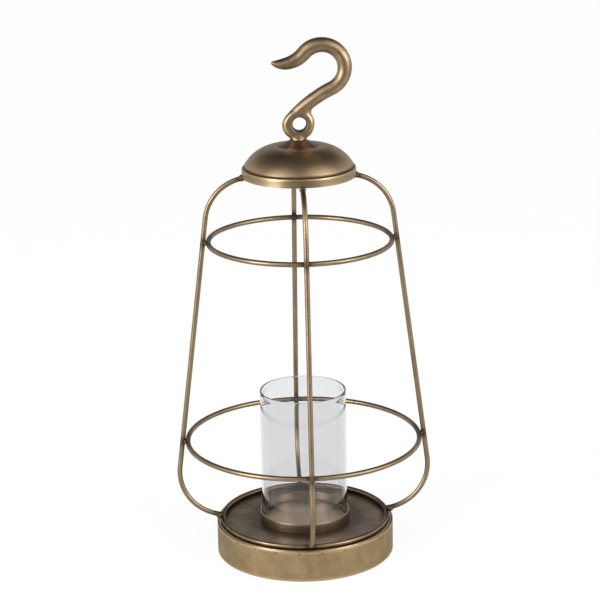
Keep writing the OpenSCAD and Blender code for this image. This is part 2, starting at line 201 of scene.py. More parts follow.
def new_group(name, inputs, outputs):
    """An empty shader node group with named sockets, and its two end nodes."""
    tree = bpy.data.node_groups.new(name, "ShaderNodeTree")
    for label, kind, value in inputs:
        socket = tree.interface.new_socket(label, in_out="INPUT", socket_type=kind)
        socket.default_value = value
    for label, kind in outputs:
        tree.interface.new_socket(label, in_out="OUTPUT", socket_type=kind)
    return tree, tree.nodes.new("NodeGroupInput").outputs, tree.nodes.new("NodeGroupOutput")


def turning_lines_group():
    """Fine lines that a spinning lathe leaves round the Z axis."""
    tree, given, out = new_group("turning lines", [("Spacing", FLOAT, 0.0006)], [("Line", FLOAT)])
    x, y, z = add_node(tree, "ShaderNodeSeparateXYZ", Vector=object_place(tree)).outputs
    radius = maths(tree, "SQRT", plus(tree, times(tree, x, x), times(tree, y, y)))
    across = add_node(
        tree, "ShaderNodeCombineXYZ", X=maths(tree, "DIVIDE", radius, given["Spacing"]),
        Y=maths(tree, "DIVIDE", z, given["Spacing"]), Z=times(tree, maths(tree, "ARCTAN2", y, x), LINE_CHANGE))
    lines = noise_at(tree, across.outputs["Vector"], Scale=1.0, Detail=3.0, Roughness=0.6)
    set_inputs(tree, out, {"Line": lines})
    return tree


def patina_group():
    """Brass that is rubbed clean in places and aged brown in others, with dark pits, and black where painted shade is
    laid on.
    """
    tree, given, out = new_group(
        "patina",
        [("Clean", COLOUR, (0.5, 0.4, 0.2, 1)), ("Aged", COLOUR, (0.2, 0.14, 0.08, 1)), ("Rub", FLOAT, 0.5),
         ("Cloud Size", FLOAT, 0.02), ("Cloud Depth", FLOAT, 1.0), ("Pits", FLOAT, 0.3), ("Line", FLOAT, 0.5),
         ("Line Depth", FLOAT, 0.2), ("Rough", FLOAT, 0.45), ("Painted Shade", FLOAT, 0.0)],
        [("Color", COLOUR), ("Roughness", FLOAT), ("Height", FLOAT)],
    )
    mottle_depth, polish, pit_rough = 0.5, 0.16, 0.25
    mottle_height, streak_height = 0.35, 0.9
    place = object_place(tree)
    cloud_scale = maths(tree, "DIVIDE", 1.0, given["Cloud Size"])
    cloud = noise_at(tree, place, Scale=cloud_scale, Detail=7.0, Roughness=0.62, Distortion=0.4)
    mottle = noise_at(tree, place, Scale=900.0, Detail=4.0, Roughness=0.7)
    from_pit = add_node(tree, "ShaderNodeTexVoronoi", Vector=place, Scale=420.0).outputs["Distance"]
    pitted = noise_at(tree, place, Scale=160.0, Detail=2.0)
    pit = times(tree, ramp(tree, from_pit, *PIT_EDGE), ramp(tree, pitted, *PITTED_AREA))
    pit = maths(tree, "MULTIPLY", pit, given["Pits"], clamp=True)
    streak = swing(tree, given["Line"], given["Line Depth"])
    worn = plus(tree, given["Rub"], swing(tree, cloud, given["Cloud Depth"]), swing(tree, mottle, mottle_depth))
    worn = maths(tree, "ADD", worn, streak, clamp=True)
    colour = blend_colour(tree, worn, given["Aged"], given["Clean"])
    rough = maths(tree, "SUBTRACT", given["Rough"], swing(tree, worn, polish))
    height = plus(tree, times(tree, mottle, mottle_height), times(tree, streak, streak_height))
    set_inputs(tree, out, {
        "Color": blend_colour(tree, maths(tree, "MAXIMUM", pit, given["Painted Shade"]), colour, PIT_AND_SHADE_BLACK),
        "Roughness": plus(tree, rough, times(tree, pit, pit_rough)),
        "Height": maths(tree, "SUBTRACT", height, pit),
    })
    return tree


def edge_rub_group():
    """How far hands and cloths have rubbed a place, high on outer edges and low in corners, lowered by dark joints and
    by painted shade, and the part of that painted shade which turns black.
    """
    tree, given, out = new_group(
        "edge rub", [("Base", FLOAT, 0.5), ("Edge", FLOAT, 1.0)], [("Rub", FLOAT), ("Painted Shade", FLOAT)])
    edge = add_node(tree, "ShaderNodeAttribute", attribute_name="edge").outputs["Fac"]
    dirt_and_shade = add_node(tree, "ShaderNodeAttribute", attribute_name="dirt_and_shade").outputs["Fac"]
    rub = plus(tree, given["Base"], times(tree, edge, given["Edge"]))
    set_inputs(tree, out, {"Rub": maths(tree, "SUBTRACT", rub, dirt_and_shade),
                           "Painted Shade": ramp(tree, dirt_and_shade, SHADE_BLACK_FROM, SHADE_BLACK_FULL)})
    return tree


TURNING_LINES = turning_lines_group()
PATINA = patina_group()
EDGE_RUB = edge_rub_group()


# Materials

def place_group(tree, group, values):
    """Outputs of a node group, with sockets or plain values on its inputs."""
    return set_inputs(tree, add_node(tree, "ShaderNodeGroup", node_tree=group), values).outputs


def new_material(name):
    """A material, its node tree and its main shader."""
    material = bpy.data.materials.new(name)
    material.use_nodes = True
    return material, material.node_tree, material.node_tree.nodes["Principled BSDF"]


def bumps(tree, height, strength, distance):
    """Socket of a normal roughened by a height; distance is in metres."""
    return add_node(tree, "ShaderNodeBump", Strength=strength, Distance=distance, Height=height).outputs["Normal"]


def brass(name, clean, aged, rub, edge=1.0, cloud=0.02, depth=1.0, pits=0.0, spacing=0.0006, lines=0.0,
          relief=0.00012, rough=0.42):
    """Antique brass: rub is the share rubbed clean, edge how bright its edges are, lines the depth of turning lines.

    The sizes cloud, spacing and relief are in metres.
    """
    material, tree, shader = new_material(name)
    wear = place_group(tree, EDGE_RUB, {"Base": rub, "Edge": edge})
    line = place_group(tree, TURNING_LINES, {"Spacing": spacing})["Line"]
    coat = place_group(tree, PATINA, {
        "Clean": (*clean, 1), "Aged": (*aged, 1), "Rub": wear["Rub"], "Painted Shade": wear["Painted Shade"], "Cloud Size": cloud,
        "Cloud Depth": depth, "Pits": pits, "Line": line, "Line Depth": lines, "Rough": rough})
    set_inputs(tree, shader, {
        "Metallic": 1.0, "Base Color": coat["Color"], "Roughness": coat["Roughness"],
        "Normal": bumps(tree, coat["Height"], strength=1.0, distance=relief)})
    return material


def chimney_glass():
    """Clear drawn glass with a faint grey body and a slow ripple."""
    material, tree, shader = new_material("chimney glass")
    place = object_place(tree)
    film = noise_at(tree, place, Scale=38.0, Detail=3.0)
    ripple = noise_at(tree, place, Scale=22.0, Detail=1.0)
    set_inputs(tree, shader, {
        "IOR": 1.38, "Roughness": 0.0, "Transmission Weight": 1.0,
        "Base Color": blend_colour(tree, film, (0.795, 0.8, 0.81, 1), (0.845, 0.847, 0.855, 1)),
        "Normal": bumps(tree, ripple, strength=0.1, distance=0.0004)})
    return material


def pad_felt():
    """Pressed grey felt with loose fibres."""
    material, tree, shader = new_material("pad felt")
    fibre = noise_at(tree, object_place(tree), Scale=2600.0, Detail=5.0, Distortion=2.0)
    set_inputs(tree, shader, {
        "Roughness": 0.95, "Sheen Weight": 0.4,
        "Base Color": blend_colour(tree, fibre, (0.02, 0.018, 0.016, 1), (0.12, 0.11, 0.1, 1)),
        "Normal": bumps(tree, fibre, strength=0.8, distance=0.0003)})
    return material


ROD_BRASS = brass("rod brass", clean=(0.46, 0.342, 0.206), aged=(0.117, 0.083, 0.051), rub=0.62,
                  cloud=0.03, relief=0.00006, rough=0.35)
RING_BRASS = brass("ring brass", clean=(0.40, 0.295, 0.175), aged=(0.1, 0.072, 0.046), rub=0.5, rough=0.3)
DRUM_BRASS = brass("drum brass", clean=(0.54, 0.391, 0.214), aged=(0.227, 0.157, 0.085), rub=0.57,
                   depth=1.5, lines=0.8, spacing=0.0005, pits=0.5, rough=0.43)
TRAY_BRASS = brass("tray brass", clean=(0.455, 0.347, 0.247), aged=(0.17, 0.124, 0.088), rub=0.45,
                   depth=1.4, lines=0.4, spacing=0.0009, rough=0.34)
CUP_BRASS = brass("cup brass", clean=(0.42, 0.33, 0.235), aged=(0.12, 0.092, 0.07), rub=0.45, edge=0.7, lines=0.5)
PLATE_BRASS = brass("plate brass", clean=(0.2, 0.15, 0.1), aged=(0.08, 0.055, 0.04), rub=0.35, lines=0.4)
CAP_BRASS = brass("cap brass", clean=(0.52, 0.382, 0.222), aged=(0.184, 0.115, 0.071), rub=0.58,
                  edge=0.5, depth=0.8, lines=0.5, spacing=0.0007, rough=0.36)
HOOK_BRASS = brass("hook brass", clean=(0.56, 0.41, 0.24), aged=(0.145, 0.1, 0.062), rub=0.54,
                   edge=0.35, depth=1.5, cloud=0.01, relief=0.00016, rough=0.4)
BRAZING = brass("brazing", clean=(0.27, 0.195, 0.12), aged=(0.07, 0.05, 0.034), rub=0.4,
                cloud=0.004, pits=0.9, relief=0.0003)
FIXING_STEEL = brass("fixing steel", clean=(0.42, 0.37, 0.28), aged=(0.16, 0.13, 0.1), rub=0.55, cloud=0.006)
CHIMNEY_GLASS = chimney_glass()
PAD_FELT = pad_felt()


# Meshes

def mesh_piece(name, points, faces, sharp=32):
    """A mesh object with smooth shading and sharp edges above an angle in degrees."""
    mesh = bpy.data.meshes.new(name)
    mesh.from_pydata([tuple(p) for p in points], [], faces)
    mesh.validate()
    mesh.shade_smooth()
    mesh.set_sharp_from_angle(angle=math.radians(sharp))
    piece = bpy.data.objects.new(name, mesh)
    bpy.context.scene.collection.objects.link(piece)
    return piece


def fit(piece, body, node, material):
    """Puts a finished piece in the place of a CAD node."""
    piece.data.materials.clear()
    piece.data.materials.append(material)
    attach(piece, body)
    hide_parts(node)


def set_values(piece, name, values):
    """Writes one number per vertex, or the same number on all, as a named attribute."""
    layer = piece.data.attributes.get(name) or piece.data.attributes.new(name, "FLOAT", "POINT")
    flat = np.empty(len(piece.data.vertices), np.float32)
    flat[:] = values
    layer.data.foreach_set("value", flat)


def vertices_of(piece):
    """The places of a piece's vertices, a row each."""
    flat = np.empty(len(piece.data.vertices) * 3, np.float32)
    piece.data.vertices.foreach_get("co", flat)
    return flat.reshape(-1, 3).astype(float)


def move_vertices(piece, points):
    """Writes the places of a piece's vertices back."""
    piece.data.vertices.foreach_set("co", points.astype(np.float32).ravel())


def from_axis(points):
    """Distance of each row of points from the Z axis."""
    return np.hypot(points[:, 0], points[:, 1])


def fade(distance, reach, amount=1.0):
    """An amount at a distance of 0, falling away smoothly over a reach."""
    return amount * np.exp(-(distance / reach) ** 2)


def rise(values, start, end):
    """Straight rise from 0 at start to 1 at end, and level beyond both."""
    return np.clip((values - start) / (end - start), 0, 1)


def circle(sides):
    """Cosine and sine at even steps round a circle."""
    turns = (2 * math.pi * k / sides for k in range(sides))
    return [(math.cos(a), math.sin(a)) for a in turns]


def arc(centre, radius, start, end, steps=8):
    """Points on an arc in a half section, both ends included; angles in radians."""
    turns = (start + (end - start) * k / steps for k in range(steps + 1))
    return [(centre[0] + radius * math.cos(a), centre[1] + radius * math.sin(a)) for a in turns]


def curve(start, pull, end, steps=8):
    """Points on a curve from start to end that leaves and arrives along the lines to pull."""
    a, b, c = (np.array(at) for at in (start, pull, end))
    return [tuple((1 - t) ** 2 * a + 2 * t * (1 - t) * b + t ** 2 * c) for t in np.linspace(0, 1, steps)]


def refine(outline, step):
    """A closed outline without repeated points, and with points added so that none is further apart than step."""
    points = []
    for (r0, z0), (r1, z1) in zip(outline, outline[1:] + outline[:1]):
        length = math.hypot(r1 - r0, z1 - z0)
        parts = math.ceil(length / step) if length > 1e-6 * MM else 0
        points += [(r0 + (r1 - r0) * k / parts, z0 + (z1 - z0) * k / parts) for k in range(parts)]
    return points


def edge_values(outline, reach):
    """Outward turn of a closed outline near each point, from -1 in a corner to 1 on an edge."""
    flat = np.array(outline)
    before = flat - np.roll(flat, 1, 0)
    after = np.roll(flat, -1, 0) - flat
    turn = np.arctan2(before[:, 0] * after[:, 1] - before[:, 1] * after[:, 0], (before * after).sum(1))
    area = (flat[:, 0] * np.roll(flat[:, 1], -1) - flat[:, 1] * np.roll(flat[:, 0], -1)).sum()
    turn *= math.copysign(1, area)
    along = np.concatenate([[0], np.cumsum(np.hypot(*after.T))])
    total, along = along[-1], along[:-1]
    gap = np.abs(along[:, None] - along[None, :])
    gap = np.minimum(gap, total - gap)
    return np.clip((fade(gap, reach) * turn[None, :]).sum(1), -1, 1)


def ring_numbers(start, count, around):
    """Numbers of the vertices round a ring and back to the first; a ring of one vertex repeats it."""
    return [start + k % count for k in range(around + 1)]


def faces_between(rings):
    """Faces between each ring of vertex numbers and the next, without corners that coincide."""
    faces = []
    for here, ahead in zip(rings, rings[1:]):
        for k in range(len(here) - 1):
            corners = tuple(dict.fromkeys((here[k], here[k + 1], ahead[k + 1], ahead[k])))
            if len(corners) > 2:
                faces.append(corners)
    return faces


def tube_faces(count, sides, closed=False, pointed=False):
    """Faces over count rings of vertices: joined end to end, pointed at one last vertex, or with two flat ends."""
    rings = [ring_numbers(i * sides, sides, sides) for i in range(count)]
    if closed:
        return faces_between(rings + rings[:1])
    start, end = tuple(reversed(rings[0][:-1])), tuple(rings[-1][:-1])
    if pointed:
        return faces_between(rings + [ring_numbers(count * sides, 1, sides)]) + [start]
    return faces_between(rings) + [start, end]


def turned(name, outline, around=240, step=1.2 * MM, reach=1.5 * MM, sharp=32):
    """A solid of revolution about Z from a closed outline of (radius, height), with its edge values."""
    outline = refine(outline, step)
    spin = circle(around)
    points, marks, rings = [], [], []
    for (r, z), mark in zip(outline, edge_values(outline, reach)):
        ring = [(r * c, r * s, z) for c, s in spin] if r > 0 else [(0, 0, z)]
        rings.append(ring_numbers(len(points), len(ring), around))
        points += ring
        marks += [mark] * len(ring)
    piece = mesh_piece(name, points, faces_between(rings + rings[:1]), sharp)
    set_values(piece, "edge", marks)
    return piece


def join_meshes(name, parts):
    """One mesh object from several, keeping their edge values and their values of dirt and painted shade; the parts
    are removed.
    """
    points, faces = [], []
    values = {"edge": [], "dirt_and_shade": []}
    for part in parts:
        base = len(points)
        points += [tuple(v.co) for v in part.data.vertices]
        faces += [tuple(base + i for i in p.vertices) for p in part.data.polygons]
        for label, marks in values.items():
            layer = part.data.attributes.get(label)
            marks += [layer.data[i].value if layer else 0.0 for i in range(len(part.data.vertices))]
        bpy.data.objects.remove(part)
    piece = mesh_piece(name, points, faces)
    for label, marks in values.items():
        set_values(piece, label, marks)
    return piece


# Base

# Painted shade in the drum's dimples, black at their middle
DIMPLE_PAINTED_SHADE = 2.6
# Painted light inside the cup, which lies in shade; a darker outside
CUP_INSIDE_PAINTED_LIGHT, CUP_OUTSIDE_DARKER = -0.6, 0.25


def drum():
    """Plain wall with a rounded edge and a row of small punched dimples."""
    half = SHEET / 2
    outline = [(DRUM_R - SHEET, DRUM_LOW), (DRUM_R - half / 2, DRUM_LOW), (DRUM_R, DRUM_LOW + half / 2)]
    outline += arc((DRUM_R - half, DRUM_TOP - half), half, 0, math.pi)
    piece = turned("drum", outline, around=1440, step=0.7 * MM)
    points = vertices_of(piece)
    pitch = 2 * math.pi / DIMPLES
    turn = np.arctan2(points[:, 1], points[:, 0]) / pitch - 0.5
    aside = (turn - np.round(turn)) * pitch * DRUM_R
    above = points[:, 2] - (TRAY_UNDER - DIMPLE_R)
    dimple = fade(np.hypot(aside, above), reach=0.7 * DIMPLE_R)
    points[:, :2] *= (1 - DIMPLE_DEPTH * dimple / from_axis(points))[:, None]
    move_vertices(piece, points)
    # Painted shade in the dimples
    set_values(piece, "dirt_and_shade", DIMPLE_PAINTED_SHADE * dimple)
    fit(piece, "lantern", "base_drum", DRUM_BRASS)


def tray():
    """Round floor with a rounded edge, with a painted shadow round the cup and painted shade beside the ring."""
    outline = [(0, TRAY_UNDER), (TRAY_R, TRAY_UNDER)]
    outline += arc((TRAY_R - TRAY_EDGE_R, TRAY_TOP - TRAY_EDGE_R), TRAY_EDGE_R, 0, math.pi / 2) + [(0, TRAY_TOP)]
    piece = turned("tray", outline)
    radius = from_axis(vertices_of(piece))
    # Painted shadow round the cup's foot and painted shade beside the ring
    cup_painted_shadow = fade(radius - CUP_R, reach=11 * MM, amount=0.75)
    ring_painted_shade = fade(radius - RING_R, reach=5 * MM, amount=0.45)
    set_values(piece, "dirt_and_shade", cup_painted_shadow + ring_painted_shade)
    fit(piece, "lantern", "base_tray", TRAY_BRASS)


def foot_ring():
    """Flat ring inside the drum's lower edge."""
    outer, low, high = node_span("base_foot_ring")
    inner = outer - FOOT_RING_W
    outline = [(inner, low), (outer, low), (outer, high), (inner, high)]
    fit(turned("foot_ring", outline), "lantern", "base_foot_ring", TRAY_BRASS)


def felt_pads():
    """Four soft discs under the foot ring."""
    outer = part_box("felt_pads")[1]
    ring_r = math.hypot(outer.x, outer.y) - math.hypot(PAD_R, PAD_R)
    half = outer.z / 2
    bulge = arc((PAD_R - half, half), half, -math.pi / 2, math.pi / 2, steps=6)
    parts = []
    for k in range(4):
        pad = turned(f"pad_{k}", [(0, 0)] + bulge + [(0, outer.z)], around=48)
        turn = math.pi / 4 + k * math.pi / 2
        pad.data.transform(Matrix.Translation((ring_r * math.cos(turn), ring_r * math.sin(turn), 0)))
        parts.append(pad)
    fit(join_meshes("felt_pads_soft", parts), "lantern", "felt_pads", PAD_FELT)


def cup():
    """Shallow cup with a rounded lip, lighter inside as painted light, darker outside, and with a painted shadow round
    its foot.
    """
    inner, floor_top, lip = CUP_R - CUP_WALL, CUP_LOW + CUP_WALL, CUP_WALL / 2
    corner = (inner - CUP_CORNER_R, floor_top + CUP_CORNER_R)
    outline = [(0, CUP_LOW), (CUP_R - CUP_EDGE, CUP_LOW), (CUP_R, CUP_LOW + CUP_EDGE)]
    outline += arc((CUP_R - lip, CUP_TOP - lip), lip, 0, math.pi)
    outline += arc(corner, CUP_CORNER_R, 0, -math.pi / 2, steps=6) + [(0, floor_top)]
    piece = turned("cup", outline)
    points = vertices_of(piece)
    spare = 0.1 * MM
    inside = (from_axis(points) < inner + spare) & (points[:, 2] > CUP_LOW + spare)
    # Painted shadow round the cup's foot
    foot_painted_shade = fade(points[:, 2] - CUP_LOW, reach=3 * MM, amount=0.8)
    set_values(piece, "dirt_and_shade", np.where(inside, CUP_INSIDE_PAINTED_LIGHT, CUP_OUTSIDE_DARKER + foot_painted_shade))
    fit(piece, "lantern", "glass_cup", CUP_BRASS)


def chimney():
    """Straight glass tube with fire-rounded rims."""
    half = GLASS_WALL / 2
    middle = GLASS_R - half
    outline = arc((middle, GLASS_TOP - half), half, 0, math.pi, steps=10)
    outline += arc((middle, GLASS_LOW + half), half, math.pi, 2 * math.pi, steps=10)
    piece = turned("chimney", outline, around=180, step=4 * MM, sharp=80)
    fit(piece, "glass", "glass_chimney", CHIMNEY_GLASS)


# Cage of rods

ROD_SIDES, HOOP_POINTS = 28, 240
UNEVEN, UNEVEN_SCALE = 0.05 * MM, 160
BEAD_ROWS, BEAD_COLUMNS = 14, 20
BEAD_LUMPS, BEAD_LUMP_SCALE, BEAD_DRAW = 0.12, 1.6, 900

# The ribs' middle line lies in a plane through Z: a bend at the foot, a straight leg and a bend into the cap
LOW_C = Vector((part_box("rib_right")[1].x - ROD_R - LOW_BEND_R, 0, 0))
LOW_C.z = RING_H + FOOT_RISE + math.sqrt(LOW_BEND_R ** 2 - (RING_R - LOW_C.x) ** 2)
RIB_END_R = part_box("rib_right")[0].x
RIB_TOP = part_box("rib_right")[1].z - ROD_R
LEAN = Vector((math.cos(RIB_LEAN), 0, math.sin(RIB_LEAN)))
LEG_START = LOW_C + LOW_BEND_R * LEAN
LEG_AT_TOP = LEG_START.x - (RIB_TOP - LEG_START.z) * math.tan(RIB_LEAN)
TOP_BEND_R = (LEG_AT_TOP - RIB_END_R) * math.cos(RIB_LEAN) / (1 - math.sin(RIB_LEAN))
TOP_C = Vector((RIB_END_R, 0, RIB_TOP - TOP_BEND_R))
LEG_END = TOP_C + TOP_BEND_R * LEAN
LEG_PARTS, BEND_PARTS = 60, 40

# Where each rib and hoop is brazed, and how far the heat has darkened it; the front rib's top and each hoop's left and
# right are darkened further as painted shade
RIBS = {"rib_right": 0, "rib_back": 90, "rib_left": 180, "rib_front": 270}
AT_LOWER, AT_UPPER = Vector((LOWER_R + ROD_R, 0, LOWER_H)), Vector((UPPER_R + ROD_R, 0, UPPER_H))
RIB_JOINTS = [(Vector((RING_R + ROD_R, 0, RING_H + FOOT_RISE)), 7 * MM), (AT_LOWER, 5 * MM), (AT_UPPER, 5 * MM),
              (Vector((CAP_R, 0, RIB_TOP)), 5 * MM)]
FRONT_TOP_PAINTED_SHADE = 15 * MM
HOOP_HEAT, HOOP_SIDE_PAINTED_SHADE = 4.5 * MM, 20 * MM

# Lumps of filler: the middle of the one on +X, and its radius
BEADS = {
    "foot_brazing": (Vector((RING_R + 1.7 * ROD_R, 0, RING_H + 0.8 * FOOT_RISE)), 2.9 * MM),
    "lower_brazing": (AT_LOWER, 2.5 * MM),
    "upper_brazing": (AT_UPPER, 2.5 * MM),
    "cap_brazing": (Vector((CAP_R, 0, RIB_TOP - 0.4 * MM)), 3.1 * MM),
}


def turn_to(angle):
    """Turn about Z by an angle in degrees."""
    return Matrix.Rotation(math.radians(angle), 3, "Z")


def rod(name, path, across, joints, closed=False):
    """A round rod along a path in the plane square to across, dark near its joints, each a point and a reach; a long
    reach stands for painted shade.
    """
    count = len(path)
    points, dirt_and_shade = [], []
    for i, here in enumerate(path):
        ahead = path[(i + 1) % count] if closed or i + 1 < count else here
        behind = path[i - 1] if closed or i else here
        up = across.cross((ahead - behind).normalized())
        for c, s in circle(ROD_SIDES):
            out = across * c + up * s
            uneven = UNEVEN * noise.noise((here + out * ROD_R) * UNEVEN_SCALE)
            points.append(here + out * (ROD_R + uneven))
        dirt_and_shade += [max(fade((here - at).length, reach) for at, reach in joints)] * ROD_SIDES
    piece = mesh_piece(name, points, tube_faces(count, ROD_SIDES, closed), sharp=50)
    set_values(piece, "dirt_and_shade", dirt_and_shade)
    return piece


def rib_path():
    """Middle line of the rib that lies on +X, from its foot to its top."""
    foot = -math.acos((RING_R - LOW_C.x) / LOW_BEND_R)
    low = arc((LOW_C.x, LOW_C.z), LOW_BEND_R, foot, RIB_LEAN, BEND_PARTS)
    top = arc((TOP_C.x, TOP_C.z), TOP_BEND_R, RIB_LEAN, math.pi / 2, BEND_PARTS)
    leg = [LEG_START.lerp(LEG_END, k / LEG_PARTS) for k in range(1, LEG_PARTS)]
    return [Vector((r, 0, z)) for r, z in low] + leg + [Vector((r, 0, z)) for r, z in top]


def ribs():
    """The four bent rods; the front one is darkened further at its top, painted shade under the cap's band."""
    for node, angle in RIBS.items():
        turn = turn_to(angle)
        joints = [(turn @ at, reach) for at, reach in RIB_JOINTS]
        if node == "rib_front":
            joints[-1] = (joints[-1][0], FRONT_TOP_PAINTED_SHADE)
        piece = rod(node + "_rod", [turn @ p for p in rib_path()], turn @ Vector((0, 1, 0)), joints)
        fit(piece, "lantern", node, ROD_BRASS)


def hoop(node, radius, height, material):
    """A ring of rod, brazed to the four ribs, and darkened further at its left and right as painted shade."""
    path = [Vector((radius * c, radius * s, height)) for c, s in circle(HOOP_POINTS)]
    joints = [(turn_to(angle) @ Vector((radius, 0, height)), HOOP_HEAT if angle % 180 else HOOP_SIDE_PAINTED_SHADE)
              for angle in RIBS.values()]
    fit(rod(node + "_rod", path, Vector((0, 0, 1)), joints, closed=True), "lantern", node, material)


def beads(node, centre, radius):
    """Lumps of brazing filler at the four ribs, each a little different."""
    points, faces = [], []
    for angle in RIBS.values():
        turn = turn_to(angle)
        rings = []
        for i in range(BEAD_ROWS + 1):
            tilt = math.pi * i / BEAD_ROWS
            spin = circle(BEAD_COLUMNS) if 0 < i < BEAD_ROWS else [(1, 0)]
            rings.append(ring_numbers(len(points), len(spin), BEAD_COLUMNS))
            for c, s in spin:
                out = Vector((math.sin(tilt) * c, math.sin(tilt) * s, math.cos(tilt)))
                draw = noise.noise(out * BEAD_LUMP_SCALE + Vector((angle, radius * BEAD_DRAW, 0)))
                points.append(turn @ (centre + out * (radius * (1 + BEAD_LUMPS * draw))))
        faces += faces_between(rings[::-1])
    fit(mesh_piece(node + "_lumps", points, faces, sharp=80), "lantern", node, BRAZING)


# Cap

HOLE_R = STEM_R + 0.1 * MM
BAND_TOP = CAP_LOW + BAND_H + BAND_EDGE_R
DOME_EDGE = CAP_R - BAND_EDGE_R + GROOVE / 4
GROOVE_R = DOME_EDGE - GROOVE
DOME_C = CAP_TOP - DOME_R
DOME_START = math.asin((BAND_TOP + GROOVE_W - DOME_C) / DOME_R)
CROWN_R = DOME_EDGE - DOME_R * math.cos(DOME_START)
ROLL = math.radians(2.6)  # how far up the dome its rolled lower edge reaches
# Painted shade over the dome's crown and over the whole collar
CROWN_PAINTED_SHADE, COLLAR_PAINTED_SHADE = 0.15, 0.42


def cap():
    """Spun cap: band with a rounded edge, groove, and a dome with a flat crown."""
    dome = arc((CROWN_R, DOME_C), DOME_R, DOME_START + ROLL, math.pi / 2, steps=40)
    roll = DOME_START - ROLL / 3
    roll_pull = (CROWN_R + DOME_R * math.cos(roll), DOME_C + DOME_R * math.sin(roll))
    groove_floor = (GROOVE_R + GROOVE_SOFT, BAND_TOP + GROOVE_W / 2)
    outside = [(CAP_R, CAP_LOW)]
    outside += arc((CAP_R - BAND_EDGE_R, CAP_LOW + BAND_H), BAND_EDGE_R, 0, math.pi / 2, steps=10)
    outside += curve((CAP_R - BAND_EDGE_R, BAND_TOP), (GROOVE_R + 2 * GROOVE_SOFT, BAND_TOP), groove_floor)
    outside += curve(groove_floor, roll_pull, dome[0])[1:] + dome[1:] + [(HOLE_R, CAP_TOP)]
    inner = DOME_R - SHEET
    inner_start = math.acos((GROOVE_R - SHEET - CROWN_R) / inner)
    inside = [(CAP_R - SHEET, CAP_LOW), (CAP_R - SHEET, CAP_LOW + BAND_H), (GROOVE_R - SHEET, BAND_TOP - SHEET)]
    inside += arc((CROWN_R, DOME_C), inner, inner_start, math.pi / 2, steps=40) + [(HOLE_R, CAP_TOP - SHEET)]
    piece = turned("cap", outside + inside[::-1], around=320, reach=2.2 * MM)
    above_band = vertices_of(piece)[:, 2] - BAND_TOP
    # Painted shade over the crown and in the groove
    on_crown = CROWN_PAINTED_SHADE * rise(above_band, 6 * MM, 14 * MM)
    in_groove = fade(above_band - GROOVE_W / 2, reach=1.4 * MM, amount=0.6)
    set_values(piece, "dirt_and_shade", on_crown + in_groove)
    fit(piece, "lantern", "cap_shell", CAP_BRASS)


def collar():
    """Flared seat under the hook's foot, evenly dull, and darkened all over as painted shade."""
    rim, top = Vector((COLLAR_R, COLLAR_LOW + COLLAR_RIM)), Vector((COLLAR_TOP_R, COLLAR_TOP))
    across = top - rim
    away = math.sqrt(FLARE_R ** 2 - across.length_squared / 4) / across.length
    centre = (rim + top) / 2 + away * Vector((across.y, -across.x))
    start, end = (math.atan2(*(p - centre).yx) % (2 * math.pi) for p in (rim, top))
    outline = [(HOLE_R, COLLAR_LOW), (COLLAR_R, COLLAR_LOW)]
    outline += arc(centre, FLARE_R, start, end, steps=16) + [(HOLE_R, COLLAR_TOP)]
    piece = turned("collar", outline, around=160)
    set_values(piece, "edge", 0.0)
    set_values(piece, "dirt_and_shade", COLLAR_PAINTED_SHADE)
    fit(piece, "lantern", "cap_collar", CAP_BRASS)


def plate():
    """Disc that closes the band from below."""
    outline = [(HOLE_R, PLATE_UNDER), (PLATE_R, PLATE_UNDER), (PLATE_R, PLATE_TOP), (HOLE_R, PLATE_TOP)]
    fit(turned("plate", outline, step=3 * MM), "lantern", "cap_plate", PLATE_BRASS)


# Hook

SHANK_T, CROOK_T = 12.2 * MM, 13.9 * MM
TAPER_LEN, TAPER_POWER = 43.6 * MM, 0.41
FLAT_LEN = 20 * MM
SHANK_HEADING = math.radians(44)
SHANK_BEND_R = 124 * MM
HOOK_START = Vector((-1 * MM, 0, EYE_H + EYE_R - 5.6 * MM))
HOOK_CHAIN = [(SHANK_BEND_R, -18.4), (21.2 * MM, 203.7), (27.4 * MM, -65.3)]  # radius, and turn in degrees
SHANK_C = HOOK_START + SHANK_BEND_R * Vector((math.sin(SHANK_HEADING), 0, -math.cos(SHANK_HEADING)))
BAR_SIDES, BAR_IN_EYE = 36, 4 * MM
EYE_OUT, EYE_SOFT = 0.9 * MM, 3 * MM
BORE_FLARE, FLARE_END = 2.0 * MM, math.radians(110)
ROOT_LEN = 46 * MM
CORNER_R = 4.2 * MM
ROOT_VOXEL, CASTING_VOXEL = 0.5 * MM, 0.42 * MM
SETTLE_FROM, SETTLE_FULL = 26 * MM, 34 * MM
TIP_LEN, TIP_DRAWN, TIP_THINNED = 9 * MM, 1.9 * MM, 0.3
STEM_IN_FOOT, THREAD_SPARE = 1 * MM, 6 * MM
UPRIGHT = Matrix.Rotation(math.pi / 2, 4, "X")
# Painted shade in the eye's bore
BORE_PAINTED_SHADE = 2.0


def hook_line(step=1.0 * MM):
    """Points of the hook's middle line with their headings and the length of metal before each; its end and length."""
    here, heading, run = HOOK_START.copy(), SHANK_HEADING, 0.0
    line = []
    for radius, degrees in HOOK_CHAIN:
        turn = math.radians(degrees)
        parts = math.ceil(radius * abs(turn) / step)
        bite = turn / parts
        chord = 2 * radius * math.sin(abs(bite) / 2)
        for _ in range(parts):
            line.append((here.copy(), heading, run))
            here += chord * Vector((math.cos(heading + bite / 2), 0, math.sin(heading + bite / 2)))
            heading += bite
            run += radius * abs(bite)
    return line, here, run


def bar_size(run, total):
    """Half thickness of the bar in the plane of the hook and across it."""
    left = total - run
    taper = 1 if left > TAPER_LEN else math.sin(math.pi / 2 * (left / TAPER_LEN) ** TAPER_POWER)
    wide = taper * (SHANK_T + (CROOK_T - SHANK_T) * min(1, run / (total - TAPER_LEN))) / 2
    deep = wide if run > FLAT_LEN else wide - (wide - EYE_T / 2) * (1 - run / FLAT_LEN)
    return wide, deep


